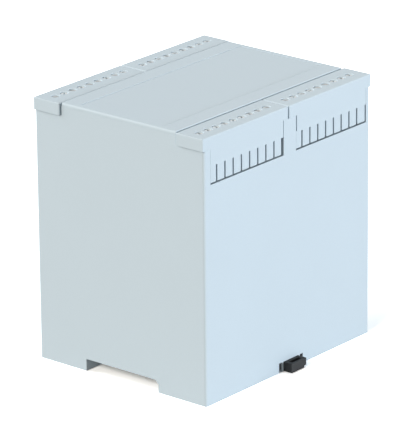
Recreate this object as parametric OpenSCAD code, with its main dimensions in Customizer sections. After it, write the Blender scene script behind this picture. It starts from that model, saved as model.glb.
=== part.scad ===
// Enclosure for a 35 mm top-hat rail, made of moulded plastic.
// An open-topped housing stands astride the rail and is held by two fixed hooks and a
// sprung latch. A top panel closes its middle, and four equal terminal covers, two at
// the front and two turned round at the back, close the terminal blocks.
// The origin is the middle of the rail seat, which is the ceiling of the rail groove.
// +Z points away from the rail, +X runs along it, and the latch is on the -Y side.

/* [Housing] */
// Width of the housing, along the rail
body_w = 102; // [90:0.5:130]
// Depth of the housing, across the rail
body_d = 85; // [84:0.5:110]
// Height from the underside of the feet to the top of the panel
total_h = 108.5; // [90:0.5:140]
// Thickness of the outer walls
wall = 2; // [1.6:0.1:2.2]
// Rounding of the upright corners
corner_r = 1; // [0.4:0.1:1.5]

/* [Rail groove] */
// Width of the groove across the rail
groove_w = 36.8; // [36:0.1:38]
// Depth of the groove, which is the height of the feet
foot_h = 5; // [4.8:0.1:7]
// Bevel along the latch side of the groove
groove_bevel = 1.5; // [0.5:0.1:2]
// Thickness of the rail's flange
rail_t = 1; // [0.8:0.1:1.5]
// How far the fixed hooks reach under the rail
hook_reach = 1.6; // [1:0.1:2]
// Thickness of a hook at its tip
hook_t = 0.8; // [0.5:0.1:1.2]
// Length of each of the two fixed hooks
hook_len = 20; // [8:1:30]
// Distance of each hook's middle from the middle of the housing
hook_x = 28; // [20:1:32]

/* [Covers] */
// Depth of a cover, from the front or back face inwards
cover_d = 13; // [12.4:0.1:14.5]
// How far the covers stand out past the sides of the housing
cover_proud = 0.8; // [0.3:0.1:1.2]
// How far the top of a cover lies below the top of the panel
cover_step = 0.7; // [0.3:0.1:1.2]
// Thickness of a cover's top
cover_t = 1.5; // [1.2:0.1:1.8]
// Thickness of a cover's front and inner skirts
skirt_t = 1.3; // [1:0.1:1.5]
// Thickness of a cover's side skirts
side_skirt_t = 2; // [1.6:0.1:2.2]
// Height of the skirts, from the top of the cover down to the housing's rim
skirt_h = 4.6; // [4:0.1:6]
// Height of the break-off fins
fin_h = 6.7; // [5:0.1:8]
// Width of the slits between the fins
slit_w = 0.6; // [0.3:0.1:1]
// Diameter of the screwdriver holes
driver_hole_d = 4; // [3.6:0.1:4.4]
// Rounding of the covers' and the panel's top edges
edge_r = 0.8; // [0.3:0.1:1.1]

/* [Panel] */
// Thickness of the panel's plate
panel_t = 1.5; // [1.2:0.1:2.5]
// Gap between the panel and the covers
panel_gap = 0.8; // [0.4:0.1:1.2]
// Height of the rim under the plate
rim_h = 3; // [2:0.5:5]
// Thickness of that rim
rim_t = 1.2; // [0.8:0.1:2]
// Depth of the label recess
label_depth = 0.3; // [0.1:0.05:0.5]
// Margin of the label recess at its short sides
label_side = 2.5; // [2:0.5:8]
// Margin of the label recess at its long sides
label_end = 7.8; // [2:0.1:12]

/* [Terminals] */
// Distance from one terminal to the next. A block has as many as its width holds
pitch = 5; // [4.9:0.02:5.2]
// Distance from the side of a cover to its first terminal
first_pole = 5.7; // [5.6:0.1:5.8]
// Distance from the front face to the clamp screws
screw_y = 6.2; // [6:0.1:6.8]
// Height of the terminal openings, from the sill up to the housing's rim
window_h = 14.1; // [13.6:0.1:14.6]
// Diameter of a clamp screw's head
head_d = 3.6; // [3:0.1:3.7]
// Height of a clamp screw's head
head_h = 1.8; // [1.4:0.1:2]
// Diameter of a clamp screw's shank
shank_d = 2.5; // [2:0.1:2.6]
// Width of a wire clamp
cage_w = 3.9; // [3.6:0.1:4]
// Depth of a wire clamp
cage_d = 5; // [4:0.1:5]
// Height of a wire clamp
cage_h = 6.8; // [6.4:0.1:7]
// Thickness of a wire clamp's sides
cage_t = 0.6; // [0.4:0.1:0.7]
// Width of a contact strip
strip_w = 2.4; // [2:0.1:2.5]
// Thickness of a contact strip and its solder pin
strip_t = 0.8; // [0.5:0.1:1]
// Width of a solder pin
pin_w = 1; // [0.6:0.1:1.2]
// How far the solder pins reach past the inner wall
pin_reach = 3.8; // [2.8:0.1:4.5]

/* [Board guides] */
// Thickness of a circuit board
board_t = 1.6; // [1:0.1:2]
// Distance of the board from the wall behind the terminals
board_gap = 1; // [0.6:0.1:2]
// Depth of the guide ribs
guide_reach = 2; // [1:0.1:3]
// Thickness of a guide rib
guide_t = 1.1; // [0.8:0.1:1.5]
// Distance from the top of a guide rib to the rim under the panel
guide_drop = 2; // [1:0.5:10]

/* [Latch] */
// Distance of the latch from the middle of the housing
latch_x = 1.1; // [-6:0.1:6]
// Width of the channel that the latch slides in
channel_w = 14.9; // [14:0.1:16]
// Height of that channel
channel_h = 4.1; // [4:0.1:4.2]
// Width of the latch's head
latch_head_w = 9.2; // [8.6:0.1:9.4]
// How far the head stands out of the front face
latch_head_reach = 4; // [3:0.1:6]
// Thickness of the latch's side arms
latch_arm_t = 0.9; // [0.6:0.1:1]
// How far the latch's nose reaches into the rail groove
nose_reach = 3.2; // [2.8:0.1:3.4]
// Travel of the latch
latch_travel = 4.5; // [4:0.1:5]
// Outer diameter of the latch spring
spring_d = 2.6; // [2.2:0.1:2.6]
// Wire diameter of the latch spring
wire_d = 0.4; // [0.3:0.05:0.45]
// Turns of the latch spring
spring_turns = 8; // [5:1:9]

/* [Hidden] */
// Running clearance between pieces that slide past each other
slide_gap = 0.1;
// Clearance between pieces that are only set side by side
set_gap = 0.3;
// Clearance round a part that is put into a slot or a bore
fit_gap = 0.15;
// Overshoot of a cut past the face that it opens
over = 1;
// How far a rib or a boss is sunk into the wall that carries it
root = 0.5;
// Roundness of small circles
$fn = 48;

// housing
foot_z = -foot_h;
top_z = total_h - foot_h;
wall_top = top_z - panel_t;
cover_top = top_z - cover_step;
rim_z = cover_top - skirt_h;
sill_z = rim_z - window_h;
inner_w = body_w - 2 * wall;
shelf_t = wall;
// the front face, from which the terminal parts are laid out
front_y = -body_d / 2;
// the wall between the terminals and the circuit board
divider_y = cover_d + panel_gap;
divider_t = 1.5;
// slack of the rail's flange on the hooks
rail_slack = 0.4;
hook_z = -rail_t - rail_slack;
// pairs of ribs on the side walls, with a board between the two ribs of a pair
board_slack = 0.1;
guide_y = divider_y + divider_t + board_gap - board_slack - guide_t;
guide_step = guide_t + board_t + 2 * board_slack;
guide_z0 = wall / 2;
guide_z1 = rim_z - rim_h - guide_drop;

// slight rounding of the upright corners of the covers and the panel
upright_r = 0.4;
// slack of the panel's rim inside the housing
rim_slack = 0.2;

// covers: two equal ones side by side, from one proud side to the other
cover_seam = 0.3;
cover_pitch = body_w / 2 + cover_proud;
cover_w = cover_pitch - cover_seam / 2;
// extra thickness of a terminal block's end walls
block_end_t = 0.1;
poles = 1 + floor((body_w / 2 - wall - set_gap - block_end_t - pitch / 2 - first_pole) / pitch);
// the apron hangs in a window of the housing wall, with the fins as its lower edge
first_slit = first_pole + pitch / 2;
last_slit = first_slit + (poles - 1) * pitch;
first_fin_half = 1.2;
window_end = 0.5;
window_x0 = first_pole - first_fin_half;
window_x1 = last_slit + window_end;
apron_z = sill_z + set_gap;
fin_top = apron_z + fin_h;
apron_inset_left = 0.5;
apron_inset_right = 0.2;
// score line along which the fins break off
score_depth = 0.4;
score_half = 0.5;
score_rise = 0.2;

// terminal block: a box with a cell for each terminal
block_x0 = first_pole - pitch / 2 - block_end_t;
block_x1 = last_slit + block_end_t;
block_front_gap = 0.2;
block_y0 = wall + block_front_gap;
block_y1 = divider_y - set_gap;
block_shoulder_y = cover_d - skirt_t - set_gap;
block_shoulder_z = rim_z - set_gap;
block_top = cover_top - cover_t - set_gap;
block_floor_t = 1;
cell_w = cage_w + 2 * slide_gap;
cell_floor = sill_z + block_floor_t;
cage_z = cell_floor + slide_gap;
cage_top_t = 1;
cage_y = screw_y - cage_d / 2;
// room above a clamp, and the plastic from there up to the screw head
cage_room = 1.2;
screw_deck_t = 3.3;
cell_top = cage_z + cage_h + cage_room;
head_z = cell_top + screw_deck_t;
// the strip lies under the top of the clamp and sticks out a little in front of it
strip_nose = 0.2;
strip_z = cage_z + cage_h - cage_top_t - strip_t - slide_gap;
strip_y = cage_y - strip_nose;
pin_slot_gap = 0.2;
wire_way_w = 3.6;
wire_way_z = cage_z + cage_t + slide_gap;
// clearance of the screws' smooth shanks on the clamps and the strips
thread_gap = 0.05;
shank_z = strip_z + strip_t + thread_gap;
driver_slot_w = 0.6;
driver_slot_depth = 0.8;
driver_slot_turn = 35;

// latch: heights are counted from the underside of the feet
tunnel_wall = 1.2;
tunnel_roof = 1.5;
foot_edge_y = -groove_w / 2;
head_y = front_y - latch_head_reach;
head_z0 = slide_gap;
head_z1 = channel_h - slide_gap;
head_root = 0.8;
plate_z0 = 1.1;
plate_z1 = channel_h - 0.5;
plate_side_gap = 0.35;
plate_back = 0.2;
stem_z0 = 0.3;
lane_half = latch_head_w / 2 + slide_gap;
guide_rib_t = 0.95;
guide_rib_len = 9;
plate_y = front_y + guide_rib_len + latch_travel + set_gap;
plate_half = channel_w / 2 - plate_side_gap;
lip_t = plate_z0 - slide_gap;
lip_reach = 1.6;
lip_back = 1;
nose_half = 5.5;
nose_foot = 0.8;
nose_tip_t = 0.7;
// the screwdriver slot in the head, and the notch under its right edge
pull_slot_w = 6;
pull_slot_len = 1.8;
pull_slot_wall = 1;
pull_slot_z = 1.4;
notch_w = 1.2;
notch_h = 0.9;
notch_back = 0.2;
// the spring lies in a slot of the latch, between the latch and a peg of the housing
spring_side_gap = 0.35;
spring_slot_half = spring_d / 2 + spring_side_gap;
spring_slot_tail = 2.2;
spring_slot_z = 0.9;
spring_peg_y = front_y + 4.1;
spring_peg_t = 1.2;
spring_slot_y0 = spring_peg_y - slide_gap;
spring_slot_y1 = plate_y + spring_slot_tail;
spring_y0 = spring_peg_y + spring_peg_t + slide_gap;
spring_y1 = spring_slot_y1 - slide_gap;
spring_z = foot_z + spring_slot_z + spring_d / 2 + slide_gap;

// ---- helpers ----

// A box given by its low and high corners
module box(low, high) translate(low) cube(high - low);

// A profile drawn in Y and Z, extruded along X from x0 to x1
module along_x(x0, x1) translate([x0, 0, 0]) rotate([90, 0, 90]) linear_extrude(x1 - x0) children();

// A profile drawn in X and Z, extruded along Y from y0 to y1
module along_y(y0, y1) translate([0, y1, 0]) rotate([90, 0, 0]) linear_extrude(y1 - y0) children();

// A rectangle with its lower left corner at the origin and four round corners
module round_rect(w, d, r) {
    translate([r, 0]) square([w - 2 * r, d]);
    translate([0, r]) square([w, d - 2 * r]);
    for (x = [r, w - r], y = [r, d - r]) translate([x, y]) circle(r);
}

// A rectangle with only its two upper corners rounded
module round_top(w, h, r) {
    square([w, h - r]);
    translate([r, 0]) square([w - 2 * r, h]);
    for (x = [r, w - r]) translate([x, h - r]) circle(r);
}

// A plate with rounded top edges and slightly rounded upright corners
module soft_plate(w, d, h, r, upright_r) intersection() {
    linear_extrude(h) round_rect(w, d, upright_r);
    along_y(0, d) round_top(w, h, r);
    along_x(0, w) round_top(d, h, r);
}

// Puts a part drawn in a cover's own frame at each of the four corners.
// That frame starts at the cover's side and front face, with Z counted from the rail seat.
module front_left() translate([-cover_pitch, front_y, 0]) children();
module front_right() translate([0, front_y, 0]) children();
module rear_left() rotate(180) front_right() children();
module rear_right() rotate(180) front_left() children();

// Repeats a part at every terminal of a block
module each_pole() for (i = [0 : poles - 1]) translate([first_pole + i * pitch, 0, 0]) children();

// ---- housing ----

module groove_profile() polygon([
    [-groove_w / 2, foot_z - over], [-groove_w / 2, -groove_bevel],
    [-groove_w / 2 + groove_bevel, 0], [groove_w / 2, 0], [groove_w / 2, foot_z - over]
]);

module hollow_profile() polygon([
    [front_y + wall, wall_top + over], [front_y + wall, foot_z + wall],
    [-groove_w / 2 - wall, foot_z + wall], [-groove_w / 2 - wall, wall],
    [groove_w / 2 + wall, wall], [groove_w / 2 + wall, foot_z + wall],
    [-front_y - wall, foot_z + wall], [-front_y - wall, wall_top + over]
]);

module shell() difference() {
    translate([-body_w / 2, front_y, foot_z])
        linear_extrude(wall_top - foot_z) round_rect(body_w, body_d, corner_r);
    along_x(-body_w / 2 - over, body_w / 2 + over) groove_profile();
    along_x(-inner_w / 2, inner_w / 2) hollow_profile();
}

// Shelf, dividing wall and middle post of one terminal compartment, front side
module terminal_bay() {
    box([-inner_w / 2 - wall / 2, front_y + wall / 2, sill_z - shelf_t],
        [inner_w / 2 + wall / 2, front_y + divider_y + divider_t, sill_z]);
    box([-inner_w / 2 - wall / 2, front_y + divider_y, sill_z - shelf_t],
        [inner_w / 2 + wall / 2, front_y + divider_y + divider_t, wall_top]);
    box([-cover_pitch + block_x1 + set_gap, front_y + wall / 2, sill_z - shelf_t],
        [block_x0 - set_gap, front_y + divider_y + divider_t / 2, rim_z]);
}

// What is cut away for the covers, the fins and the solder pins, front side
module terminal_bay_cuts() {
    box([-body_w / 2 - over, front_y - over, rim_z],
        [body_w / 2 + over, front_y + divider_y, wall_top + over]);
    for (x = [-cover_pitch, 0])
        box([x + window_x0, front_y - over, sill_z], [x + window_x1, front_y + wall, rim_z + over]);
    for (x = [-cover_pitch, 0]) translate([x, front_y, 0]) each_pole()
        box([-pin_w / 2 - pin_slot_gap, divider_y - over, strip_z - pin_slot_gap],
            [pin_w / 2 + pin_slot_gap, divider_y + divider_t + over, strip_z + strip_t + pin_slot_gap]);
}

// A pair of ribs on each side wall, between which a board stands behind the terminal row
module board_guides() for (side = [0, 1], rib = [0, 1]) mirror([side, 0, 0])
    box([inner_w / 2 - guide_reach, front_y + guide_y + rib * guide_step, guide_z0],
        [inner_w / 2 + wall / 2, front_y + guide_y + rib * guide_step + guide_t, guide_z1]);

module rail_hooks() for (x = [-hook_x, hook_x])
    along_x(x - hook_len / 2, x + hook_len / 2) polygon([
        [groove_w / 2 + wall / 2, hook_z], [groove_w / 2 - hook_reach, hook_z],
        [groove_w / 2 - hook_reach, hook_z - hook_t], [groove_w / 2, hook_z - hook_t - hook_reach],
        [groove_w / 2 + wall / 2, foot_z + wall / 2]
    ]);

// Solid round the latch channel, inside the front foot
module latch_tunnel() translate([latch_x, 0, foot_z])
    box([-channel_w / 2 - tunnel_wall, front_y + wall / 2, 0],
        [channel_w / 2 + tunnel_wall, foot_edge_y - wall / 2, channel_h + tunnel_roof]);

module latch_channel() translate([latch_x, 0, foot_z])
    box([-channel_w / 2, front_y - over, -over], [channel_w / 2, foot_edge_y + over, channel_h]);

// Ribs beside the latch's head, lips under its plate and the peg for its spring
module latch_guides() translate([latch_x, 0, foot_z]) {
    for (side = [0, 1]) mirror([side, 0, 0]) {
        box([lane_half, front_y, 0], [lane_half + guide_rib_t, front_y + guide_rib_len, channel_h + root]);
        box([channel_w / 2 - lip_reach, plate_y - latch_travel, 0],
            [channel_w / 2 + root, foot_edge_y - lip_back, lip_t]);
    }
    box([-spring_slot_half + fit_gap, spring_peg_y, spring_slot_z + slide_gap],
        [spring_slot_half - fit_gap, spring_peg_y + spring_peg_t, channel_h + root]);
}

module housing() color("#c9d3da") {
    difference() {
        union() {
            shell();
            for (turn = [0, 180]) rotate(turn) {
                terminal_bay();
                board_guides();
            }
            latch_tunnel();
        }
        for (turn = [0, 180]) rotate(turn) terminal_bay_cuts();
        latch_channel();
    }
    latch_guides();
    rail_hooks();
}

// ---- top panel ----

module top_panel() color("#cdd6dc") {
    panel_d = body_d - 2 * divider_y;
    rim_w = inner_w - 2 * rim_slack;
    rim_d = panel_d - 2 * divider_t - 2 * rim_slack;
    difference() {
        translate([-body_w / 2, -panel_d / 2, wall_top])
            soft_plate(body_w, panel_d, panel_t, edge_r, upright_r);
        translate([0, 0, top_z - label_depth + over / 2])
            cube([body_w - 2 * label_side, panel_d - 2 * label_end, over], center = true);
    }
    difference() {
        translate([0, 0, wall_top - rim_h / 2 + panel_t / 4])
            cube([rim_w, rim_d, rim_h + panel_t / 2], center = true);
        translate([0, 0, wall_top - rim_h / 2])
            cube([rim_w - 2 * rim_t, rim_d - 2 * rim_t, rim_h + over], center = true);
    }
}

// ---- terminal covers ----

// Front wall of a cover below the rim: a plain upper band and the comb of break-off fins
module apron() {
    box([window_x0 + apron_inset_left, 0, fin_top],
        [window_x1 - apron_inset_right, skirt_t, rim_z + skirt_h / 2]);
    box([window_x0 + slide_gap, 0, apron_z], [last_slit - slit_w / 2, skirt_t, fin_top + root]);
}

module terminal_cover() color("#d0dae2") difference() {
    union() {
        difference() {
            translate([0, 0, rim_z])
                soft_plate(cover_w, cover_d, skirt_h, edge_r, upright_r);
            box([side_skirt_t, skirt_t, rim_z - over],
                [cover_w - side_skirt_t, cover_d - skirt_t, cover_top - cover_t]);
        }
        apron();
    }
    for (i = [0 : poles - 2])
        box([first_slit + i * pitch - slit_w / 2, -over, apron_z - over],
            [first_slit + i * pitch + slit_w / 2, skirt_t + over, fin_top]);
    translate([0, skirt_t, fin_top + score_rise]) along_x(window_x0, window_x1)
        polygon([[-score_depth, 0], [slide_gap, -score_half], [slide_gap, score_half]]);
    each_pole() translate([0, screw_y, cover_top - cover_t - over])
        cylinder(d = driver_hole_d, h = cover_t + 2 * over);
}

// ---- terminal blocks ----

module terminal_block() color("#3f464b") difference() {
    along_x(block_x0, block_x1) polygon([
        [block_y0, sill_z], [block_y1, sill_z], [block_y1, block_shoulder_z],
        [block_shoulder_y, block_shoulder_z], [block_shoulder_y, block_top], [block_y0, block_top]
    ]);
    each_pole() {
        // cell of the wire clamp
        box([-cell_w / 2, cage_y - set_gap, cell_floor], [cell_w / 2, cage_y + cage_d + set_gap, cell_top]);
        // wire entry
        box([-wire_way_w / 2, block_y0 - over, wire_way_z], [wire_way_w / 2, cage_y, strip_z - slide_gap]);
        // seat of the contact strip
        box([-strip_w / 2 - slide_gap, screw_y, strip_z - slide_gap],
            [strip_w / 2 + slide_gap, block_y1 + over, strip_z + strip_t + slide_gap]);
        // bores for the screw's shank and head
        translate([0, screw_y, cell_top - over])
            cylinder(d = shank_d + 2 * fit_gap, h = screw_deck_t + 2 * over);
        translate([0, screw_y, head_z]) cylinder(d = head_d + 2 * fit_gap, h = block_top - head_z + over);
    }
}

module clamp_screws() color("#b8b9b6") each_pole() translate([0, screw_y, 0]) difference() {
    union() {
        translate([0, 0, head_z]) cylinder(d = head_d, h = head_h);
        translate([0, 0, shank_z]) cylinder(d = shank_d, h = head_z + head_h / 2 - shank_z);
    }
    translate([0, 0, head_z + head_h]) rotate(driver_slot_turn)
        cube([head_d + over, driver_slot_w, 2 * driver_slot_depth], center = true);
}

// A clamp is a short box tube that the screw draws up against the contact strip
module wire_clamps() color("#c8c6bd") each_pole() difference() {
    box([-cage_w / 2, cage_y, cage_z], [cage_w / 2, cage_y + cage_d, cage_z + cage_h]);
    box([-cage_w / 2 + cage_t, cage_y - over, cage_z + cage_t],
        [cage_w / 2 - cage_t, cage_y + cage_d + over, cage_z + cage_h - cage_top_t]);
    translate([0, screw_y, cage_z + cage_h - cage_top_t - over])
        cylinder(d = shank_d + 2 * thread_gap, h = cage_top_t + 2 * over);
}

module solder_pins() color("#cfc9b4") each_pole() {
    box([-strip_w / 2, strip_y, strip_z], [strip_w / 2, block_y1, strip_z + strip_t]);
    box([-pin_w / 2, block_y1 - over, strip_z],
        [pin_w / 2, divider_y + divider_t + pin_reach, strip_z + strip_t]);
}

// ---- latch ----

// Nose with a sloping underside, so that the rail pushes it back
module nose_profile() polygon([
    [foot_edge_y - lip_back, plate_z0], [foot_edge_y + nose_foot, plate_z0],
    [foot_edge_y + nose_reach, plate_z1 - nose_tip_t], [foot_edge_y + nose_reach, plate_z1],
    [foot_edge_y - lip_back, plate_z1]
]);

module rail_latch() color("#2b2d2f") translate([latch_x, 0, foot_z]) difference() {
    union() {
        // head that a screwdriver pulls on
        box([-latch_head_w / 2, head_y, head_z0], [latch_head_w / 2, front_y + head_root, head_z1]);
        box([-latch_head_w / 2, front_y, stem_z0], [latch_head_w / 2, plate_y + over, plate_z1]);
        // plate that runs on the lips
        box([-plate_half, plate_y, plate_z0], [plate_half, foot_edge_y - plate_back, plate_z1]);
        along_x(-nose_half, nose_half) nose_profile();
        // arms beside the guide ribs
        for (side = [0, 1]) mirror([side, 0, 0])
            box([plate_half - latch_arm_t, front_y, plate_z0], [plate_half, plate_y + over, plate_z1]);
    }
    box([-pull_slot_w / 2, head_y + pull_slot_wall, pull_slot_z],
        [pull_slot_w / 2, head_y + pull_slot_wall + pull_slot_len, channel_h + over]);
    box([latch_head_w / 2 - notch_w, head_y - over, -over],
        [latch_head_w / 2 + over, front_y - notch_back, notch_h]);
    box([-spring_slot_half, spring_slot_y0, spring_slot_z], [spring_slot_half, spring_slot_y1, channel_h + over]);
}

// Points of one ring of wire, where t runs from 0 to 1 along the spring
function ring(t, r, sides) = [
    for (k = [0 : sides - 1])
        let (turn = 360 * spring_turns * t, a = 360 * k / sides, out = r + wire_d / 2 * cos(a))
        [out * cos(turn), spring_y0 + wire_d / 2 + t * (spring_y1 - spring_y0 - wire_d) + wire_d / 2 * sin(a),
         out * sin(turn)]
];

module latch_spring() color("#9a9c9d") translate([latch_x, 0, spring_z]) {
    sides = 6;
    rings = 14 * spring_turns;
    points = [for (i = [0 : rings]) each ring(i / rings, (spring_d - wire_d) / 2, sides)];
    walls = [
        for (i = [0 : rings - 1], k = [0 : sides - 1])
            let (n = (k + 1) % sides)
            [i * sides + k, i * sides + n, (i + 1) * sides + n, (i + 1) * sides + k]
    ];
    ends = [[for (k = [sides - 1 : -1 : 0]) k], [for (k = [0 : sides - 1]) rings * sides + k]];
    polyhedron(points, concat(walls, ends));
}

housing();
top_panel();
front_left() terminal_cover();  // cover_front_left
front_right() terminal_cover();  // cover_front_right
rear_left() terminal_cover();  // cover_rear_left
rear_right() terminal_cover();  // cover_rear_right
front_left() terminal_block();  // terminal_block_front_left
front_right() terminal_block();  // terminal_block_front_right
rear_left() terminal_block();  // terminal_block_rear_left
rear_right() terminal_block();  // terminal_block_rear_right
front_left() clamp_screws();  // clamp_screws_front_left
front_right() clamp_screws();  // clamp_screws_front_right
rear_left() clamp_screws();  // clamp_screws_rear_left
rear_right() clamp_screws();  // clamp_screws_rear_right
front_left() wire_clamps();  // wire_clamps_front_left
front_right() wire_clamps();  // wire_clamps_front_right
rear_left() wire_clamps();  // wire_clamps_rear_left
rear_right() wire_clamps();  // wire_clamps_rear_right
front_left() solder_pins();  // solder_pins_front_left
front_right() solder_pins();  // solder_pins_front_right
rear_left() solder_pins();  // solder_pins_rear_left
rear_right() solder_pins();  // solder_pins_rear_right
rail_latch();
latch_spring();
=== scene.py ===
import math

import bmesh
import bpy
from mathutils import Matrix, Vector


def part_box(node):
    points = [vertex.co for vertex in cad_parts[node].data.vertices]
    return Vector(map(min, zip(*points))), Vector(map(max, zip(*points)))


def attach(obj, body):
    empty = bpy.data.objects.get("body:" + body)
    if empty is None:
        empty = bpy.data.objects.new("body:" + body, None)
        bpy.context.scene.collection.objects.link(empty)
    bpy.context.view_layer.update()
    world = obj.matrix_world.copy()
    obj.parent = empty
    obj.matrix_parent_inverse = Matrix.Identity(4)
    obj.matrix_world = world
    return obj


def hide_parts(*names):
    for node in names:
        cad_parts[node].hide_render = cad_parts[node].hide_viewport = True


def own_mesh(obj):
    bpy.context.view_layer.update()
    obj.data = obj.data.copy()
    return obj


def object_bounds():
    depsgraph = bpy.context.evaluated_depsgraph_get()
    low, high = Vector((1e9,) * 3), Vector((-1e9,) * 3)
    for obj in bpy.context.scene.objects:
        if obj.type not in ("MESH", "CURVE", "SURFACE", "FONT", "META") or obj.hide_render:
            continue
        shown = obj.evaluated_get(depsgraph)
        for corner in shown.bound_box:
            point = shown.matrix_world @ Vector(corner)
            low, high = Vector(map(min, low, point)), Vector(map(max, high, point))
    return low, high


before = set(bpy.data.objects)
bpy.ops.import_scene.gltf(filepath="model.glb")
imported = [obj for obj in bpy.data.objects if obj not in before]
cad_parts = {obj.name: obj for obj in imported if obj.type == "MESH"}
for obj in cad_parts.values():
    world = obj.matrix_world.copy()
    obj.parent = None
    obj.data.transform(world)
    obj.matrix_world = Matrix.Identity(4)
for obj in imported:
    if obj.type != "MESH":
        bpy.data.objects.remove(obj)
cad_low, cad_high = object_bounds()


# ---- Studio: camera, floor, sky and lamps ----
# A long lens 1.6 m away, a pale seamless floor and soft daylight lamps. None of this
# belongs to the enclosure.

MM = 0.001
VIEW_AZIMUTH = math.radians(-50.21)
VIEW_ELEVATION = math.radians(19.545)
VIEW_ROLL = math.radians(-0.54)
VIEW_DISTANCE = 1.6277
SENSOR_MM = 36
LENS_MM = 335.2
LENS_SHIFT = (-0.0035, -0.0137)
CLIP_NEAR = 0.01
CLIP_FAR = 50

scene = bpy.context.scene
scene.view_settings.view_transform = "Standard"

aim = (cad_low + cad_high) / 2
aim.x, aim.y = 0, 0
view_back = Vector((
    math.sin(VIEW_AZIMUTH) * math.cos(VIEW_ELEVATION),
    -math.cos(VIEW_AZIMUTH) * math.cos(VIEW_ELEVATION),
    math.sin(VIEW_ELEVATION),
))
view_right = Vector((math.cos(VIEW_AZIMUTH), math.sin(VIEW_AZIMUTH), 0))
view_up = view_back.cross(view_right)
turned_right = math.cos(VIEW_ROLL) * view_right + math.sin(VIEW_ROLL) * view_up
turned_up = math.cos(VIEW_ROLL) * view_up - math.sin(VIEW_ROLL) * view_right

camera_data = bpy.data.cameras.new("studio_camera")
camera_data.sensor_width = SENSOR_MM
camera_data.lens = LENS_MM
camera_data.shift_x, camera_data.shift_y = LENS_SHIFT
camera_data.clip_start = CLIP_NEAR
camera_data.clip_end = CLIP_FAR
camera = bpy.data.objects.new("studio_camera", camera_data)
camera_turn = Matrix((turned_right, turned_up, view_back)).transposed().to_4x4()
camera.matrix_world = Matrix.Translation(aim + view_back * VIEW_DISTANCE) @ camera_turn
scene.collection.objects.link(camera)
scene.camera = camera

FLOOR_HALF = 6
FLOOR_GAP = 0.02 * MM
FLOOR_SHADE = (0.3, 0.3, 0.3, 1)
FLOOR_SEEN = (1.9, 1.9, 1.9, 1)


def seen_directly(tree):
    """One for what the camera sees, also in a mirror or through glass, and else nothing."""
    path = tree.nodes.new("ShaderNodeLightPath")
    seen = path.outputs["Is Camera Ray"]
    for ray in ("Is Glossy Ray", "Is Transmission Ray"):
        either = tree.nodes.new("ShaderNodeMath")
        either.operation = "MAXIMUM"
        tree.links.new(seen, either.inputs[0])
        tree.links.new(path.outputs[ray], either.inputs[1])
        seen = either.outputs[0]
    return seen


floor_mesh = bmesh.new()
bmesh.ops.create_grid(floor_mesh, x_segments=2, y_segments=2, size=FLOOR_HALF)
bmesh.ops.translate(floor_mesh, verts=floor_mesh.verts, vec=(0, 0, cad_low.z - FLOOR_GAP))
floor_data = bpy.data.meshes.new("studio_floor")
floor_mesh.to_mesh(floor_data)
floor_mesh.free()
floor = bpy.data.objects.new("studio_floor", floor_data)
scene.collection.objects.link(floor)

floor_finish = bpy.data.materials.new("studio_floor_paint")
floor_finish.use_nodes = True
tree = floor_finish.node_tree
tree.nodes.clear()
output = tree.nodes.new("ShaderNodeOutputMaterial")
paint = tree.nodes.new("ShaderNodeBsdfDiffuse")
tint = tree.nodes.new("ShaderNodeMix")
tint.data_type = "RGBA"
tint.inputs["A"].default_value = FLOOR_SHADE
tint.inputs["B"].default_value = FLOOR_SEEN
tree.links.new(seen_directly(tree), tint.inputs["Factor"])
tree.links.new(tint.outputs["Result"], paint.inputs["Color"])
tree.links.new(paint.outputs["BSDF"], output.inputs["Surface"])
floor_data.materials.append(floor_finish)

SKY_STRENGTH = 0.23
SKY_SEEN = 1

sky = bpy.data.worlds.new("studio_sky")
sky.use_nodes = True
scene.world = sky
tree = sky.node_tree
tree.nodes.clear()
output = tree.nodes.new("ShaderNodeOutputWorld")
glow = tree.nodes.new("ShaderNodeBackground")
glow.inputs["Color"].default_value = (1, 1, 1, 1)
level = tree.nodes.new("ShaderNodeMapRange")
level.inputs["To Min"].default_value = SKY_STRENGTH
level.inputs["To Max"].default_value = SKY_SEEN
tree.links.new(seen_directly(tree), level.inputs["Value"])
tree.links.new(level.outputs["Result"], glow.inputs["Strength"])
tree.links.new(glow.outputs["Background"], output.inputs["Surface"])

# name, direction the light comes from, strength, colour, apparent size in degrees
STUDIO_LAMPS = [
    ("lamp_front", (0.32, -0.94, 0.06), 2.36, (0.875, 0.935, 1.0), 5),
    ("lamp_left", (-0.88, -0.05, 0.50), 2.02, (1.0, 0.935, 0.845), 25),
    ("lamp_right", (0.97, -0.10, 0.16), 1.6, (1.0, 0.98, 0.96), 30),
    ("lamp_rear", (-0.25, 0.90, 0.40), 1.7, (0.90, 0.96, 1.0), 30),
]
for name, source, strength, colour, size in STUDIO_LAMPS:
    lamp_data = bpy.data.lights.new(name, "SUN")
    lamp_data.energy = strength
    lamp_data.color = colour
    lamp_data.angle = math.radians(size)
    lamp = bpy.data.objects.new(name, lamp_data)
    lamp.rotation_mode = "QUATERNION"
    lamp.rotation_quaternion = Vector(source).to_track_quat("Z", "Y")
    scene.collection.objects.link(lamp)


# ---- Housing ----
# One injection moulding in light bluish grey polycarbonate blend, with a fine
# spark-eroded skin. Its edges are broken by the polish of the mould.

HOUSING_COLOUR = (0.585, 0.69, 0.762, 1)
HOUSING_EDGE = 0.15 * MM
GRAIN_SIZE = 0.35 * MM
GRAIN_RELIEF = 0.02 * MM
GRAIN_TONE = (0.985, 1.01)
CLOUD_SCALE = 45
CLOUD_GLOSS = 0.12
PLASTIC_IOR = 1.5


def value_input(tree, name, default, kind="NodeSocketFloat"):
    """Adds a named input with a default value to a node group."""
    socket = tree.interface.new_socket(name, in_out="INPUT", socket_type=kind)
    socket.default_value = default


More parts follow.
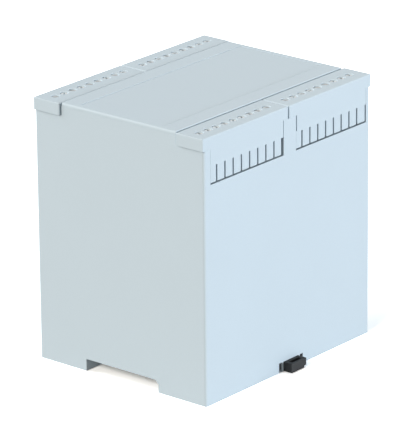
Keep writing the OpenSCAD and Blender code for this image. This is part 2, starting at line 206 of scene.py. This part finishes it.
def skin_outputs(tree):
    """Adds the colour, roughness and normal that each skin group puts out."""
    tree.interface.new_socket("Colour", in_out="OUTPUT", socket_type="NodeSocketColor")
    tree.interface.new_socket("Roughness", in_out="OUTPUT", socket_type="NodeSocketFloat")
    tree.interface.new_socket("Normal", in_out="OUTPUT", socket_type="NodeSocketVector")


def noise(tree, scale, detail):
    """Adds a noise of a given scale and detail."""
    node = tree.nodes.new("ShaderNodeTexNoise")
    node.inputs["Scale"].default_value = scale
    node.inputs["Detail"].default_value = detail
    return node


def moulded_skin_group():
    """Skin of a spark-eroded moulding: tone and roughness that drift, and a fine grain."""
    tree = bpy.data.node_groups.new("moulded_skin", "ShaderNodeTree")
    value_input(tree, "Colour", (0.5, 0.5, 0.5, 1), "NodeSocketColor")
    value_input(tree, "Grain Size", GRAIN_SIZE)
    value_input(tree, "Drift", 0.03)
    value_input(tree, "Roughness", 0.5)
    value_input(tree, "Depth", 0.5)
    skin_outputs(tree)
    nodes, links = tree.nodes, tree.links
    given = nodes.new("NodeGroupInput")
    result = nodes.new("NodeGroupOutput")
    place = nodes.new("ShaderNodeTexCoord")
    per_size = nodes.new("ShaderNodeMath")
    per_size.operation = "DIVIDE"
    per_size.inputs[0].default_value = 1
    links.new(given.outputs["Grain Size"], per_size.inputs[1])
    grain = noise(tree, 1, 2)
    grain.inputs["Roughness"].default_value = 0.6
    links.new(place.outputs["Object"], grain.inputs["Vector"])
    links.new(per_size.outputs[0], grain.inputs["Scale"])
    cloud = noise(tree, CLOUD_SCALE, 3)
    links.new(place.outputs["Object"], cloud.inputs["Vector"])
    # tone: one plus or minus the drift, and the specks of the grain
    centred = nodes.new("ShaderNodeMath")
    centred.operation = "SUBTRACT"
    centred.inputs[1].default_value = 0.5
    links.new(cloud.outputs["Fac"], centred.inputs[0])
    tone = nodes.new("ShaderNodeMath")
    tone.operation = "MULTIPLY_ADD"
    tone.inputs[2].default_value = 1
    links.new(centred.outputs[0], tone.inputs[0])
    links.new(given.outputs["Drift"], tone.inputs[1])
    speck = nodes.new("ShaderNodeMapRange")
    speck.inputs["From Min"].default_value = 0.3
    speck.inputs["From Max"].default_value = 0.7
    speck.inputs["To Min"].default_value = GRAIN_TONE[0]
    speck.inputs["To Max"].default_value = GRAIN_TONE[1]
    links.new(grain.outputs["Fac"], speck.inputs["Value"])
    both = nodes.new("ShaderNodeMath")
    both.operation = "MULTIPLY"
    links.new(tone.outputs[0], both.inputs[0])
    links.new(speck.outputs["Result"], both.inputs[1])
    shade = nodes.new("ShaderNodeVectorMath")
    shade.operation = "SCALE"
    links.new(given.outputs["Colour"], shade.inputs[0])
    links.new(both.outputs[0], shade.inputs["Scale"])
    links.new(shade.outputs["Vector"], result.inputs["Colour"])
    gloss = nodes.new("ShaderNodeMath")
    gloss.operation = "MULTIPLY_ADD"
    gloss.inputs[1].default_value = CLOUD_GLOSS
    links.new(centred.outputs[0], gloss.inputs[0])
    links.new(given.outputs["Roughness"], gloss.inputs[2])
    links.new(gloss.outputs[0], result.inputs["Roughness"])
    relief = nodes.new("ShaderNodeBump")
    relief.inputs["Distance"].default_value = GRAIN_RELIEF
    links.new(given.outputs["Depth"], relief.inputs["Strength"])
    links.new(grain.outputs["Fac"], relief.inputs["Height"])
    links.new(relief.outputs["Normal"], result.inputs["Normal"])
    return tree


def skinned(name, group, skin_values, shader_values):
    """A material whose colour, roughness and normal come from a skin group."""
    material = bpy.data.materials.new(name)
    material.use_nodes = True
    tree = material.node_tree
    shader = tree.nodes["Principled BSDF"]
    skin = tree.nodes.new("ShaderNodeGroup")
    skin.node_tree = group
    for wanted, value in skin_values.items():
        skin.inputs[wanted].default_value = value
    for wanted, value in shader_values.items():
        shader.inputs[wanted].default_value = value
    tree.links.new(skin.outputs["Colour"], shader.inputs["Base Color"])
    tree.links.new(skin.outputs["Roughness"], shader.inputs["Roughness"])
    tree.links.new(skin.outputs["Normal"], shader.inputs["Normal"])
    return material


moulded_skin = moulded_skin_group()


def moulded_plastic(name, colour, roughness=0.5, specular=0.5):
    """A moulded plastic with its own colour and gloss."""
    return skinned(
        name, moulded_skin,
        {"Colour": colour, "Roughness": roughness},
        {"IOR": PLASTIC_IOR, "Specular IOR Level": specular},
    )


def geometry_tree(name):
    """Starts a Geometry Nodes tree for a modifier, with its output."""
    tree = bpy.data.node_groups.new(name, "GeometryNodeTree")
    tree.is_modifier = True
    tree.interface.new_socket("Geometry", in_out="OUTPUT", socket_type="NodeSocketGeometry")
    return tree


def smooth_faces_tree():
    """A modifier tree that shades every face smooth, for edges rounded by a bevel."""
    tree = geometry_tree("smooth_faces")
    tree.interface.new_socket("Geometry", in_out="INPUT", socket_type="NodeSocketGeometry")
    given = tree.nodes.new("NodeGroupInput")
    result = tree.nodes.new("NodeGroupOutput")
    smooth = tree.nodes.new("GeometryNodeSetShadeSmooth")
    tree.links.new(given.outputs[0], smooth.inputs["Geometry"])
    tree.links.new(smooth.outputs["Geometry"], result.inputs[0])
    return tree


SAME_POINT = 0.001 * MM
FLAT_ANGLE = math.radians(0.5)
SHARP_ANGLE = math.radians(40)

smooth_faces = smooth_faces_tree()


def break_edges(part, width):
    """Rounds the sharp edges of a part, as the mould leaves them."""
    weld = part.modifiers.new("merge_corners", "WELD")
    weld.merge_threshold = SAME_POINT
    flat = part.modifiers.new("join_flat_faces", "DECIMATE")
    flat.decimate_type = "DISSOLVE"
    flat.angle_limit = FLAT_ANGLE
    soften = part.modifiers.new("broken_edges", "BEVEL")
    soften.width = width
    soften.segments = 2
    soften.limit_method = "ANGLE"
    soften.angle_limit = SHARP_ANGLE
    soften.use_clamp_overlap = True
    shade = part.modifiers.new("smooth_faces", "NODES")
    shade.node_group = smooth_faces
    normals = part.modifiers.new("flat_face_normals", "WEIGHTED_NORMAL")
    normals.weight = 100
    normals.keep_sharp = False


def dress(part, material, edge):
    """Gives a part one material all over, and broken edges."""
    part.data.materials.clear()
    part.data.materials.append(material)
    break_edges(part, edge)


dress(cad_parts["housing"], moulded_plastic("housing_plastic", HOUSING_COLOUR), HOUSING_EDGE)


# ---- Top panel ----
# A plate with a shallow recess for a label, moulded in the same plastic as the housing.
# Its rim drops into the housing's mouth.

PANEL_COLOUR = HOUSING_COLOUR
PANEL_EDGE = 0.4 * MM
PANEL_SIDE_EDGE = 0.9 * MM
PANEL_PLATE = 1.5 * MM
PANEL_RIM = 1.2 * MM
PANEL_RIM_INSET = Vector((2.2 * MM, 1.7 * MM, 0))
LABEL_DEPTH = 0.12 * MM
LABEL_MARGIN = Vector((2.5 * MM, 7.8 * MM, 0))
LABEL_GROOVE = 0.25 * MM
LABEL_GROOVE_DEPTH = 0.3 * MM
MOULD_EDGE = 0.1 * MM
OVERRUN = 1.0 * MM


def rectangle(low, high):
    """The four corners of a profile in Y and Z."""
    return [(low.y, low.z), (high.y, low.z), (high.y, high.z), (low.y, high.z)]


def add_prism(mesh, profile, x0, x1):
    """Adds a closed prism whose profile lies in Y and Z, from x0 to x1."""
    near = [mesh.verts.new((x0, y, z)) for y, z in profile]
    far = [mesh.verts.new((x1, y, z)) for y, z in profile]
    mesh.faces.new(near[::-1])
    mesh.faces.new(far)
    count = len(profile)
    for index in range(count):
        after = (index + 1) % count
        mesh.faces.new((near[index], near[after], far[after], far[index]))


def add_box(mesh, low, high):
    """Adds a closed box given by its low and high corners."""
    add_prism(mesh, rectangle(low, high), low.x, high.x)


def round_edges(mesh, edges, radius):
    """Rounds some edges of a mesh under construction."""
    bmesh.ops.bevel(
        mesh, geom=edges, offset=radius, segments=4, profile=0.5, affect="EDGES",
        clamp_overlap=True,
    )


def soft_plate(low, high, radius, side_radius=0):
    """A box whose upright and upper edges are rounded and whose lower edges are sharp.

    The upper edges at its left and right side can have a larger radius of their own.
    """
    mesh = bmesh.new()
    add_box(mesh, low, high)
    outline = mesh.edges
    if side_radius:
        sides = [
            edge for edge in mesh.edges
            if min(corner.co.z for corner in edge.verts) > low.z
            and edge.verts[0].co.x == edge.verts[1].co.x
        ]
        round_edges(mesh, sides, side_radius)
        mesh.normal_update()
        ends = {face for face in mesh.faces if abs(face.normal.y) > 0.99}
        outline = [edge for edge in mesh.edges if ends.intersection(edge.link_faces)]
    raised = [edge for edge in outline if max(corner.co.z for corner in edge.verts) > low.z]
    round_edges(mesh, raised, radius)
    return mesh


def as_object(name, mesh):
    """Makes an object of a mesh under construction, with its normals outwards."""
    bmesh.ops.recalc_face_normals(mesh, faces=mesh.faces)
    data = bpy.data.meshes.new(name)
    mesh.to_mesh(data)
    mesh.free()
    part = bpy.data.objects.new(name, data)
    scene.collection.objects.link(part)
    return part


def freeze(part):
    """Turns the evaluated shape of a part into its plain mesh and clears its modifiers."""
    bpy.context.view_layer.update()
    shape = part.evaluated_get(bpy.context.evaluated_depsgraph_get())
    data = bpy.data.meshes.new_from_object(shape)
    data.name = part.name
    part.modifiers.clear()
    part.data = data


def combine(part, tool, operation):
    """Cuts a tool out of a part, or joins it on, and removes the tool."""
    step = part.modifiers.new(operation.lower(), "BOOLEAN")
    step.operation = operation
    step.solver = "EXACT"
    step.use_self = True
    step.object = tool
    freeze(part)
    bpy.data.objects.remove(tool)


def moulding(name, body, additions, cuts, material):
    """Makes a moulded piece: a body less its cuts, with its additions, and broken edges."""
    part = as_object(name, body)
    combine(part, as_object(name + "_cut", cuts), "DIFFERENCE")
    combine(part, as_object(name + "_add", additions), "UNION")
    dress(part, material, MOULD_EDGE)
    freeze(part)
    return part


panel_low, panel_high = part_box("top_panel")
plate_low = Vector((panel_low.x, panel_low.y, panel_high.z - PANEL_PLATE))
plate = soft_plate(plate_low, panel_high, PANEL_EDGE, PANEL_SIDE_EDGE)

label = bmesh.new()
label_low = plate_low + LABEL_MARGIN
label_low.z = panel_high.z - LABEL_DEPTH
label_high = panel_high - LABEL_MARGIN
label_high.z = panel_high.z + OVERRUN
add_box(label, label_low, label_high)
for axis in (0, 1):
    for edge in (label_low[axis], label_high[axis] - LABEL_GROOVE):
        groove_low, groove_high = label_low.copy(), label_high.copy()
        groove_low.z = panel_high.z - LABEL_GROOVE_DEPTH
        groove_low[axis] = edge
        groove_high[axis] = edge + LABEL_GROOVE
        add_box(label, groove_low, groove_high)

rim = bmesh.new()
rim_low = panel_low + PANEL_RIM_INSET
rim_high = panel_high - PANEL_RIM_INSET
rim_high.z = plate_low.z + PANEL_PLATE / 2
for side in (-1, 1):
    wall_x = sorted((side * rim_high.x, side * (rim_high.x - PANEL_RIM)))
    wall_y = sorted((side * rim_high.y, side * (rim_high.y - PANEL_RIM)))
    add_box(
        rim,
        Vector((wall_x[0], rim_low.y, rim_low.z)),
        Vector((wall_x[1], rim_high.y, rim_high.z)),
    )
    add_box(
        rim,
        Vector((rim_low.x + PANEL_RIM / 2, wall_y[0], rim_low.z)),
        Vector((rim_high.x - PANEL_RIM / 2, wall_y[1], rim_high.z)),
    )

panel_plastic = moulded_plastic("panel_plastic", PANEL_COLOUR)
top_panel = moulding("top_panel_moulding", plate, rim, label, panel_plastic)
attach(top_panel, "panel_body")
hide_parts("top_panel")


# ---- Terminal covers ----
# Four mouldings with nine screwdriver holes and a comb of nine break-off fins each, which
# clip over the terminal blocks. The comb closes a window in the housing's wall, and each
# fin has a score line along its root.

COVER_COLOUR = HOUSING_COLOUR
COVER_STEP = 0.25 * MM
COVER_EDGE = 0.4 * MM
COVER_TOP = 1.5 * MM
COVER_SKIRT = 1.3 * MM
COVER_SKIRT_HEIGHT = 4.6 * MM
COVER_SIDE_SKIRT = 2.0 * MM
COVER_PANEL_GAP = 0.55 * MM
SEAM = 0.6 * MM
SCREW_COUNT = 9
SCREW_PITCH = 5.0 * MM
FIRST_SCREW = 5.7 * MM
SCREW_FROM_FRONT = 6.2 * MM
DRIVER_HOLE = 3.4 * MM
FIN_COUNT = 9
FIN_PITCH = 4.93 * MM
FIN_HEIGHT = 6.65 * MM
FIN_ROOT = 0.5 * MM
FIN_SILL_GAP = 0.35 * MM
FIRST_SLIT = 8.2 * MM
SLIT = 0.85 * MM
SCORE_DEPTH = 0.4 * MM
SCORE_HEIGHT = 1.0 * MM

cover_plastic = moulded_plastic("cover_plastic", COVER_COLOUR)
cover_low, cover_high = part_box("cover_front_left")
cover_length = abs(cover_low.x)
skirt_foot = cover_high.z - COVER_SKIRT_HEIGHT

# For the left and the right cover: where it starts along X and, counted from there, the ends
# of its comb and of the band above the comb, then what the seam takes off its two ends.
COVERS = {
    "left": (cover_low.x, (4.55 * MM, 47.1 * MM), (4.55 * MM, 48.4 * MM), (0, SEAM / 2)),
    "right": (0, (4.55 * MM, 47.85 * MM), (5.1 * MM, 48.6 * MM), (SEAM / 2, 0)),
}
# Each corner of the housing has the left or the right cover, turned round at the rear.
CORNERS = {
    "front_left": ("left", False),
    "front_right": ("right", False),
    "rear_left": ("right", True),
    "rear_right": ("left", True),
}


def add_bore(mesh, centre, diameter, depth):
    """Adds an upright cylinder for cutting a round hole, with its middle at the centre."""
    bmesh.ops.create_cone(
        mesh, cap_ends=True, segments=32, radius1=diameter / 2, radius2=diameter / 2,
        depth=depth, matrix=Matrix.Translation(centre),
    )


def cover_piece(name, start, comb, band, seam):
    """Makes one cover of the front side."""
    top = panel_high.z - COVER_STEP
    front = cover_low.y
    inside = front + COVER_SKIRT
    low = Vector((start + seam[0], front, skirt_foot))
    high = Vector((start + cover_length - seam[1], panel_low.y - COVER_PANEL_GAP, top))
    body = soft_plate(low, high, COVER_EDGE)

    cuts = bmesh.new()
    inset = Vector((COVER_SIDE_SKIRT, COVER_SKIRT, 0))
    room_low, room_high = low + inset, high - inset
    room_low.z -= OVERRUN
    room_high.z = top - COVER_TOP
    add_box(cuts, room_low, room_high)
    for index in range(SCREW_COUNT):
        place = Vector((start + FIRST_SCREW + index * SCREW_PITCH, front + SCREW_FROM_FRONT, top))
        add_bore(cuts, place, DRIVER_HOLE, 4 * COVER_TOP)

    fins = bmesh.new()
    foot = cover_low.z + FIN_SILL_GAP
    shoulder = foot + FIN_HEIGHT
    add_box(
        fins,
        Vector((start + band[0], front, shoulder)),
        Vector((start + band[1], inside, skirt_foot + OVERRUN)),
    )
    profile = [
        (front, foot),
        (inside, foot),
        (inside, shoulder - SCORE_HEIGHT),
        (inside - SCORE_DEPTH, shoulder - SCORE_HEIGHT / 2),
        (inside, shoulder),
        (inside, shoulder + FIN_ROOT),
        (front, shoulder + FIN_ROOT),
    ]
    for index in range(FIN_COUNT):
        slit = FIRST_SLIT + index * FIN_PITCH
        left = comb[0] if index == 0 else slit - FIN_PITCH + SLIT / 2
        right = comb[1] if index == FIN_COUNT - 1 else slit - SLIT / 2
        add_prism(fins, profile, start + left, start + right)
    return moulding(name, body, fins, cuts, cover_plastic)


def turn_round(part):
    """Turns a piece of the front side round to the rear."""
    part.data.transform(Matrix.Rotation(math.pi, 4, "Z"))


for corner, (side, turned) in CORNERS.items():
    cover = cover_piece("cover_moulding_" + corner, *COVERS[side])
    if turned:
        turn_round(cover)
    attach(cover, "cover_" + corner + "_body")
    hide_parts("cover_" + corner)


# ---- Terminal blocks ----
# Dark glass-filled polyamide boxes with a cell for each clamp. They stand on shelves of the
# housing, behind the combs of the covers.

BLOCK_COLOUR = (0.035, 0.042, 0.05, 1)
BLOCK_ROUGHNESS = 0.42
BLOCK_EDGE = 0.12 * MM

block_plastic = moulded_plastic("block_plastic", BLOCK_COLOUR, BLOCK_ROUGHNESS)
for corner in CORNERS:
    dress(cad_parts["terminal_block_" + corner], block_plastic, BLOCK_EDGE)


# ---- Wire clamps and contact strips ----
# Nickel plated clamps folded from sheet and tinned brass strips that end in solder pins,
# nine of each in a block. The sheet is rolled, and the plating clouds a little.

SHEET_STREAKS = (3000, 400, 3000)
CLAMP_COLOUR = (0.58, 0.565, 0.53, 1)
CLAMP_ROUGHNESS = 0.28
CLAMP_EDGE = 0.12 * MM
PIN_COLOUR = (0.70, 0.675, 0.60, 1)
PIN_ROUGHNESS = 0.38
PIN_EDGE = 0.08 * MM
PLATING_SCALE = 350
PLATING_TONE = (0.86, 1.1)
PLATING_GLOSS = 0.12
STREAK_RELIEF = 0.01 * MM


def metal_skin_group():
    """Skin of a plated metal: cloudy tone, fine streaks from rolling and uneven gloss."""
    tree = bpy.data.node_groups.new("metal_skin", "ShaderNodeTree")
    value_input(tree, "Colour", (0.6, 0.6, 0.6, 1), "NodeSocketColor")
    value_input(tree, "Streaks", (2500, 2500, 300), "NodeSocketVector")
    value_input(tree, "Roughness", 0.3)
    value_input(tree, "Relief", 0.3)
    skin_outputs(tree)
    nodes, links = tree.nodes, tree.links
    given = nodes.new("NodeGroupInput")
    result = nodes.new("NodeGroupOutput")
    place = nodes.new("ShaderNodeTexCoord")
    stretch = nodes.new("ShaderNodeVectorMath")
    stretch.operation = "MULTIPLY"
    links.new(place.outputs["Object"], stretch.inputs[0])
    links.new(given.outputs["Streaks"], stretch.inputs[1])
    streaks = noise(tree, 1, 3)
    links.new(stretch.outputs["Vector"], streaks.inputs["Vector"])
    cloud = noise(tree, PLATING_SCALE, 2)
    links.new(place.outputs["Object"], cloud.inputs["Vector"])
    tone = nodes.new("ShaderNodeMapRange")
    tone.inputs["To Min"].default_value = PLATING_TONE[0]
    tone.inputs["To Max"].default_value = PLATING_TONE[1]
    links.new(cloud.outputs["Fac"], tone.inputs["Value"])
    shade = nodes.new("ShaderNodeVectorMath")
    shade.operation = "SCALE"
    links.new(given.outputs["Colour"], shade.inputs[0])
    links.new(tone.outputs["Result"], shade.inputs["Scale"])
    links.new(shade.outputs["Vector"], result.inputs["Colour"])
    spread = nodes.new("ShaderNodeMapRange")
    spread.inputs["To Min"].default_value = -PLATING_GLOSS
    spread.inputs["To Max"].default_value = PLATING_GLOSS
    links.new(streaks.outputs["Fac"], spread.inputs["Value"])
    gloss = nodes.new("ShaderNodeMath")
    gloss.operation = "ADD"
    links.new(spread.outputs["Result"], gloss.inputs[0])
    links.new(given.outputs["Roughness"], gloss.inputs[1])
    links.new(gloss.outputs[0], result.inputs["Roughness"])
    relief = nodes.new("ShaderNodeBump")
    relief.inputs["Distance"].default_value = STREAK_RELIEF
    links.new(given.outputs["Relief"], relief.inputs["Strength"])
    links.new(streaks.outputs["Fac"], relief.inputs["Height"])
    links.new(relief.outputs["Normal"], result.inputs["Normal"])
    return tree


metal_skin = metal_skin_group()


def plated_metal(name, colour, streaks, roughness, relief=0.3):
    """A plated metal with its own colour, streaks and gloss."""
    skin_values = {"Colour": colour, "Streaks": streaks, "Roughness": roughness, "Relief": relief}
    return skinned(name, metal_skin, skin_values, {"Metallic": 1})


clamp_steel = plated_metal("clamp_steel", CLAMP_COLOUR, SHEET_STREAKS, CLAMP_ROUGHNESS)
tinned_brass = plated_metal("tinned_brass", PIN_COLOUR, SHEET_STREAKS, PIN_ROUGHNESS)
for corner in CORNERS:
    dress(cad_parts["wire_clamps_" + corner], clamp_steel, CLAMP_EDGE)
    dress(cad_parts["solder_pins_" + corner], tinned_brass, PIN_EDGE)


# ---- Clamp screws ----
# Slotted cheese-head screws, nine in a block. They are backed out to open the clamps, so
# their heads stand just below the tops of the covers, each turned as it was left.

SCREW_HEAD = 3.0 * MM
SCREW_HEAD_HEIGHT = 1.8 * MM
SCREW_HEAD_CHAMFER = 0.2 * MM
SCREW_HEAD_BELOW_TOP = 0.4 * MM
SCREW_SLOT = 0.6 * MM
SCREW_SLOT_DEPTH = 0.8 * MM
SCREW_SHANK = 2.4 * MM
THREAD_PITCH = 0.45 * MM
THREAD_DEPTH = 0.16 * MM
THREAD_RUNOUT = 1.0 * MM
SCREW_SIDES = 32
SCREW_SEED = 11
SCREW_COLOUR = (0.74, 0.75, 0.75, 1)
SCREW_STREAKS = (2600, 2600, 2600)
SCREW_ROUGHNESS = 0.36
SCREW_RELIEF = 0.5


def screw_prototype(name, length):
    """A screw whose head has its top at the origin, turned as one profile, with its slot."""
    head = SCREW_HEAD / 2
    crest = SCREW_SHANK / 2
    valley = crest - THREAD_DEPTH
    thread_top = -SCREW_HEAD_HEIGHT - THREAD_RUNOUT
    profile = [
        (0, 0),
        (head - SCREW_HEAD_CHAMFER, 0),
        (head, -SCREW_HEAD_CHAMFER),
        (head, -SCREW_HEAD_HEIGHT),
        (crest, -SCREW_HEAD_HEIGHT),
        (crest, thread_top),
    ]
    for turn in range(int((length + thread_top) / THREAD_PITCH)):
        profile.append((valley, thread_top - (turn + 0.5) * THREAD_PITCH))
        profile.append((crest, thread_top - (turn + 1) * THREAD_PITCH))
    profile += [(valley, -length), (0, -length)]
    mesh = bmesh.new()
    corners = [mesh.verts.new((radius, 0, height)) for radius, height in profile]
    outline = [mesh.edges.new(pair) for pair in zip(corners, corners[1:])]
    bmesh.ops.spin(
        mesh, geom=corners + outline, cent=(0, 0, 0), axis=(0, 0, 1), angle=2 * math.pi,
        steps=SCREW_SIDES, use_merge=True,
    )
    bmesh.ops.remove_doubles(mesh, verts=mesh.verts, dist=SAME_POINT)
    screw = as_object(name, mesh)
    slot = bmesh.new()
    slot_half = Vector((SCREW_HEAD, SCREW_SLOT / 2, SCREW_SLOT_DEPTH))
    add_box(slot, -slot_half, slot_half)
    combine(screw, as_object(name + "_slot", slot), "DIFFERENCE")
    return screw


def put_out_coated(tree, given, geometry):
    """Ends a tree: its geometry is made plain and gets the material that was given."""
    plain = tree.nodes.new("GeometryNodeRealizeInstances")
    coat = tree.nodes.new("GeometryNodeSetMaterial")
    result = tree.nodes.new("NodeGroupOutput")
    tree.links.new(geometry, plain.inputs["Geometry"])
    tree.links.new(plain.outputs["Geometry"], coat.inputs["Geometry"])
    tree.links.new(given.outputs["Material"], coat.inputs["Material"])
    tree.links.new(coat.outputs["Geometry"], result.inputs[0])


def screw_row_tree():
    """Sets copies of a part in a row along X, each with a turn of its own."""
    tree = geometry_tree("screw_row")
    tree.interface.new_socket("Part", in_out="INPUT", socket_type="NodeSocketObject")
    value_input(tree, "Count", SCREW_COUNT, "NodeSocketInt")
    value_input(tree, "Spacing", SCREW_PITCH)
    value_input(tree, "Start", (0.0, 0.0, 0.0), "NodeSocketVector")
    value_input(tree, "Seed", 0, "NodeSocketInt")
    tree.interface.new_socket("Material", in_out="INPUT", socket_type="NodeSocketMaterial")
    nodes, links = tree.nodes, tree.links
    given = nodes.new("NodeGroupInput")
    step = nodes.new("ShaderNodeCombineXYZ")
    links.new(given.outputs["Spacing"], step.inputs["X"])
    row = nodes.new("GeometryNodeMeshLine")
    links.new(given.outputs["Count"], row.inputs["Count"])
    links.new(given.outputs["Start"], row.inputs["Start Location"])
    links.new(step.outputs[0], row.inputs["Offset"])
    part = nodes.new("GeometryNodeObjectInfo")
    links.new(given.outputs["Part"], part.inputs["Object"])
    # a slot looks the same after half a turn
    turn = nodes.new("FunctionNodeRandomValue")
    turn.data_type = "FLOAT_VECTOR"
    turn.inputs[0].default_value = (0, 0, 0)
    turn.inputs[1].default_value = (0, 0, math.pi)
    links.new(given.outputs["Seed"], turn.inputs["Seed"])
    copies = nodes.new("GeometryNodeInstanceOnPoints")
    links.new(row.outputs["Mesh"], copies.inputs["Points"])
    links.new(part.outputs["Geometry"], copies.inputs["Instance"])
    links.new(turn.outputs[0], copies.inputs["Rotation"])
    put_out_coated(tree, given, copies.outputs["Instances"])
    return tree


def grown(name, tree, values):
    """Makes a plain mesh object of what a tree builds with its inputs set by their names."""
    part = bpy.data.objects.new(name, bpy.data.meshes.new(name))
    scene.collection.objects.link(part)
    modifier = part.modifiers.new(tree.name, "NODES")
    modifier.node_group = tree
    for item in tree.interface.items_tree:
        if item.item_type == "SOCKET" and item.in_out == "INPUT":
            modifier[item.identifier] = values[item.name]
    freeze(part)
    return part


screw_steel = plated_metal(
    "screw_steel", SCREW_COLOUR, SCREW_STREAKS, SCREW_ROUGHNESS, SCREW_RELIEF
)
screw_row = screw_row_tree()
screw_top = panel_high.z - COVER_STEP - SCREW_HEAD_BELOW_TOP
screw_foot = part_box("clamp_screws_front_left")[0].z
screw = screw_prototype("screw_prototype", screw_top - screw_foot)
for number, (corner, (side, turned)) in enumerate(CORNERS.items()):
    start = COVERS[side][0]
    screws = grown("slotted_screws_" + corner, screw_row, {
        "Part": screw,
        "Count": SCREW_COUNT,
        "Spacing": SCREW_PITCH,
        "Start": (start + FIRST_SCREW, cover_low.y + SCREW_FROM_FRONT, screw_top),
        "Seed": SCREW_SEED + number,
        "Material": screw_steel,
    })
    if turned:
        turn_round(screws)
    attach(screws, "housing_body")
    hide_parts("clamp_screws_" + corner)
bpy.data.objects.remove(screw)


# ---- Rail latch ----
# Black moulding that holds the rail. It has a slot in its head, by which a screwdriver
# pulls it out of the foot.

LATCH_COLOUR = (0.016, 0.018, 0.02, 1)
LATCH_ROUGHNESS = 0.6
LATCH_SPECULAR = 0.25
LATCH_EDGE = 0.2 * MM

latch_plastic = moulded_plastic("latch_plastic", LATCH_COLOUR, LATCH_ROUGHNESS, LATCH_SPECULAR)
dress(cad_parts["rail_latch"], latch_plastic, LATCH_EDGE)


# ---- Latch spring ----
# A coil of drawn steel wire with closed ends. It lies in the latch's slot, and its front
# end bears on a peg of the housing.

SPRING_COLOUR = (0.45, 0.45, 0.45, 1)
SPRING_STREAKS = (900, 900, 900)
SPRING_ROUGHNESS = 0.3
WIRE = 0.4 * MM
WIRE_SIDES = 12
SPRING_TURNS = 8.0
TURN_SEGMENTS = 28
SPRING_CLOSED_PART = 0.13
CLOSED_RISE = 2.05


def spring_tree():
    """Winds a wire into a coil along Y, with its end turns lying against each other."""
    tree = geometry_tree("coil_spring")
    value_input(tree, "Turns", SPRING_TURNS)
    value_input(tree, "Coil Radius", 1.0 * MM)
    value_input(tree, "Wire Radius", WIRE / 2)
    value_input(tree, "Length", 10.0 * MM)
    value_input(tree, "Closed Part", SPRING_CLOSED_PART)
    value_input(tree, "Start", (0.0, 0.0, 0.0), "NodeSocketVector")
    tree.interface.new_socket("Material", in_out="INPUT", socket_type="NodeSocketMaterial")
    nodes, links = tree.nodes, tree.links
    given = nodes.new("NodeGroupInput")

    def number(operation, *values):
        """A math node with numbers or links as its inputs."""
        node = nodes.new("ShaderNodeMath")
        node.operation = operation
        for slot, value in zip(node.inputs, values):
            if isinstance(value, (int, float)):
                slot.default_value = value
            else:
                links.new(value, slot)
        return node.outputs[0]

    turns = given.outputs["Turns"]
    coil_radius = given.outputs["Coil Radius"]
    wire_radius = given.outputs["Wire Radius"]
    closed_part = given.outputs["Closed Part"]
    coil = nodes.new("GeometryNodeCurveSpiral")
    coil.inputs["Resolution"].default_value = TURN_SEGMENTS
    coil.inputs["Height"].default_value = 0
    links.new(turns, coil.inputs["Rotations"])
    links.new(coil_radius, coil.inputs["Start Radius"])
    links.new(coil_radius, coil.inputs["End Radius"])
    # in its closed ends the coil rises by one wire for each turn, in its open middle by more
    along = nodes.new("GeometryNodeSplineParameter").outputs["Factor"]
    closed = number("MULTIPLY", number("MULTIPLY", wire_radius, CLOSED_RISE), turns)
    wound = number("SUBTRACT", given.outputs["Length"], number("MULTIPLY", wire_radius, 2))
    spare = number("SUBTRACT", wound, closed)
    middle = nodes.new("ShaderNodeMapRange")
    middle.interpolation_type = "SMOOTHSTEP"
    links.new(along, middle.inputs["Value"])
    links.new(closed_part, middle.inputs["From Min"])
    links.new(number("SUBTRACT", 1, closed_part), middle.inputs["From Max"])
    closed_rise = number("MULTIPLY", along, closed)
    rise = number("MULTIPLY_ADD", middle.outputs["Result"], spare, closed_rise)
    place = nodes.new("GeometryNodeInputPosition")
    split = nodes.new("ShaderNodeSeparateXYZ")
    links.new(place.outputs["Position"], split.inputs[0])
    joined = nodes.new("ShaderNodeCombineXYZ")
    links.new(split.outputs["X"], joined.inputs["X"])
    links.new(number("ADD", rise, wire_radius), joined.inputs["Y"])
    links.new(split.outputs["Y"], joined.inputs["Z"])
    moved = nodes.new("ShaderNodeVectorMath")
    moved.operation = "ADD"
    links.new(joined.outputs[0], moved.inputs[0])
    links.new(given.outputs["Start"], moved.inputs[1])
    wind = nodes.new("GeometryNodeSetPosition")
    links.new(coil.outputs["Curve"], wind.inputs["Geometry"])
    links.new(moved.outputs["Vector"], wind.inputs["Position"])
    section = nodes.new("GeometryNodeCurvePrimitiveCircle")
    section.inputs["Resolution"].default_value = WIRE_SIDES
    links.new(wire_radius, section.inputs["Radius"])
    sweep = nodes.new("GeometryNodeCurveToMesh")
    sweep.inputs["Fill Caps"].default_value = True
    links.new(wind.outputs["Geometry"], sweep.inputs["Curve"])
    links.new(section.outputs["Curve"], sweep.inputs["Profile Curve"])
    put_out_coated(tree, given, sweep.outputs["Mesh"])
    return tree


spring_low, spring_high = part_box("latch_spring")
spring_centre = (spring_low + spring_high) / 2
spring = grown("latch_coil_spring", spring_tree(), {
    "Turns": SPRING_TURNS,
    "Coil Radius": (spring_high.z - spring_low.z - WIRE) / 2,
    "Wire Radius": WIRE / 2,
    "Length": spring_high.y - spring_low.y,
    "Closed Part": SPRING_CLOSED_PART,
    "Start": (spring_centre.x, spring_low.y, spring_centre.z),
    "Material": plated_metal("spring_steel", SPRING_COLOUR, SPRING_STREAKS, SPRING_ROUGHNESS),
})
for face in spring.data.polygons:
    face.use_smooth = True
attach(spring, "housing_body")
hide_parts("latch_spring")
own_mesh(spring)
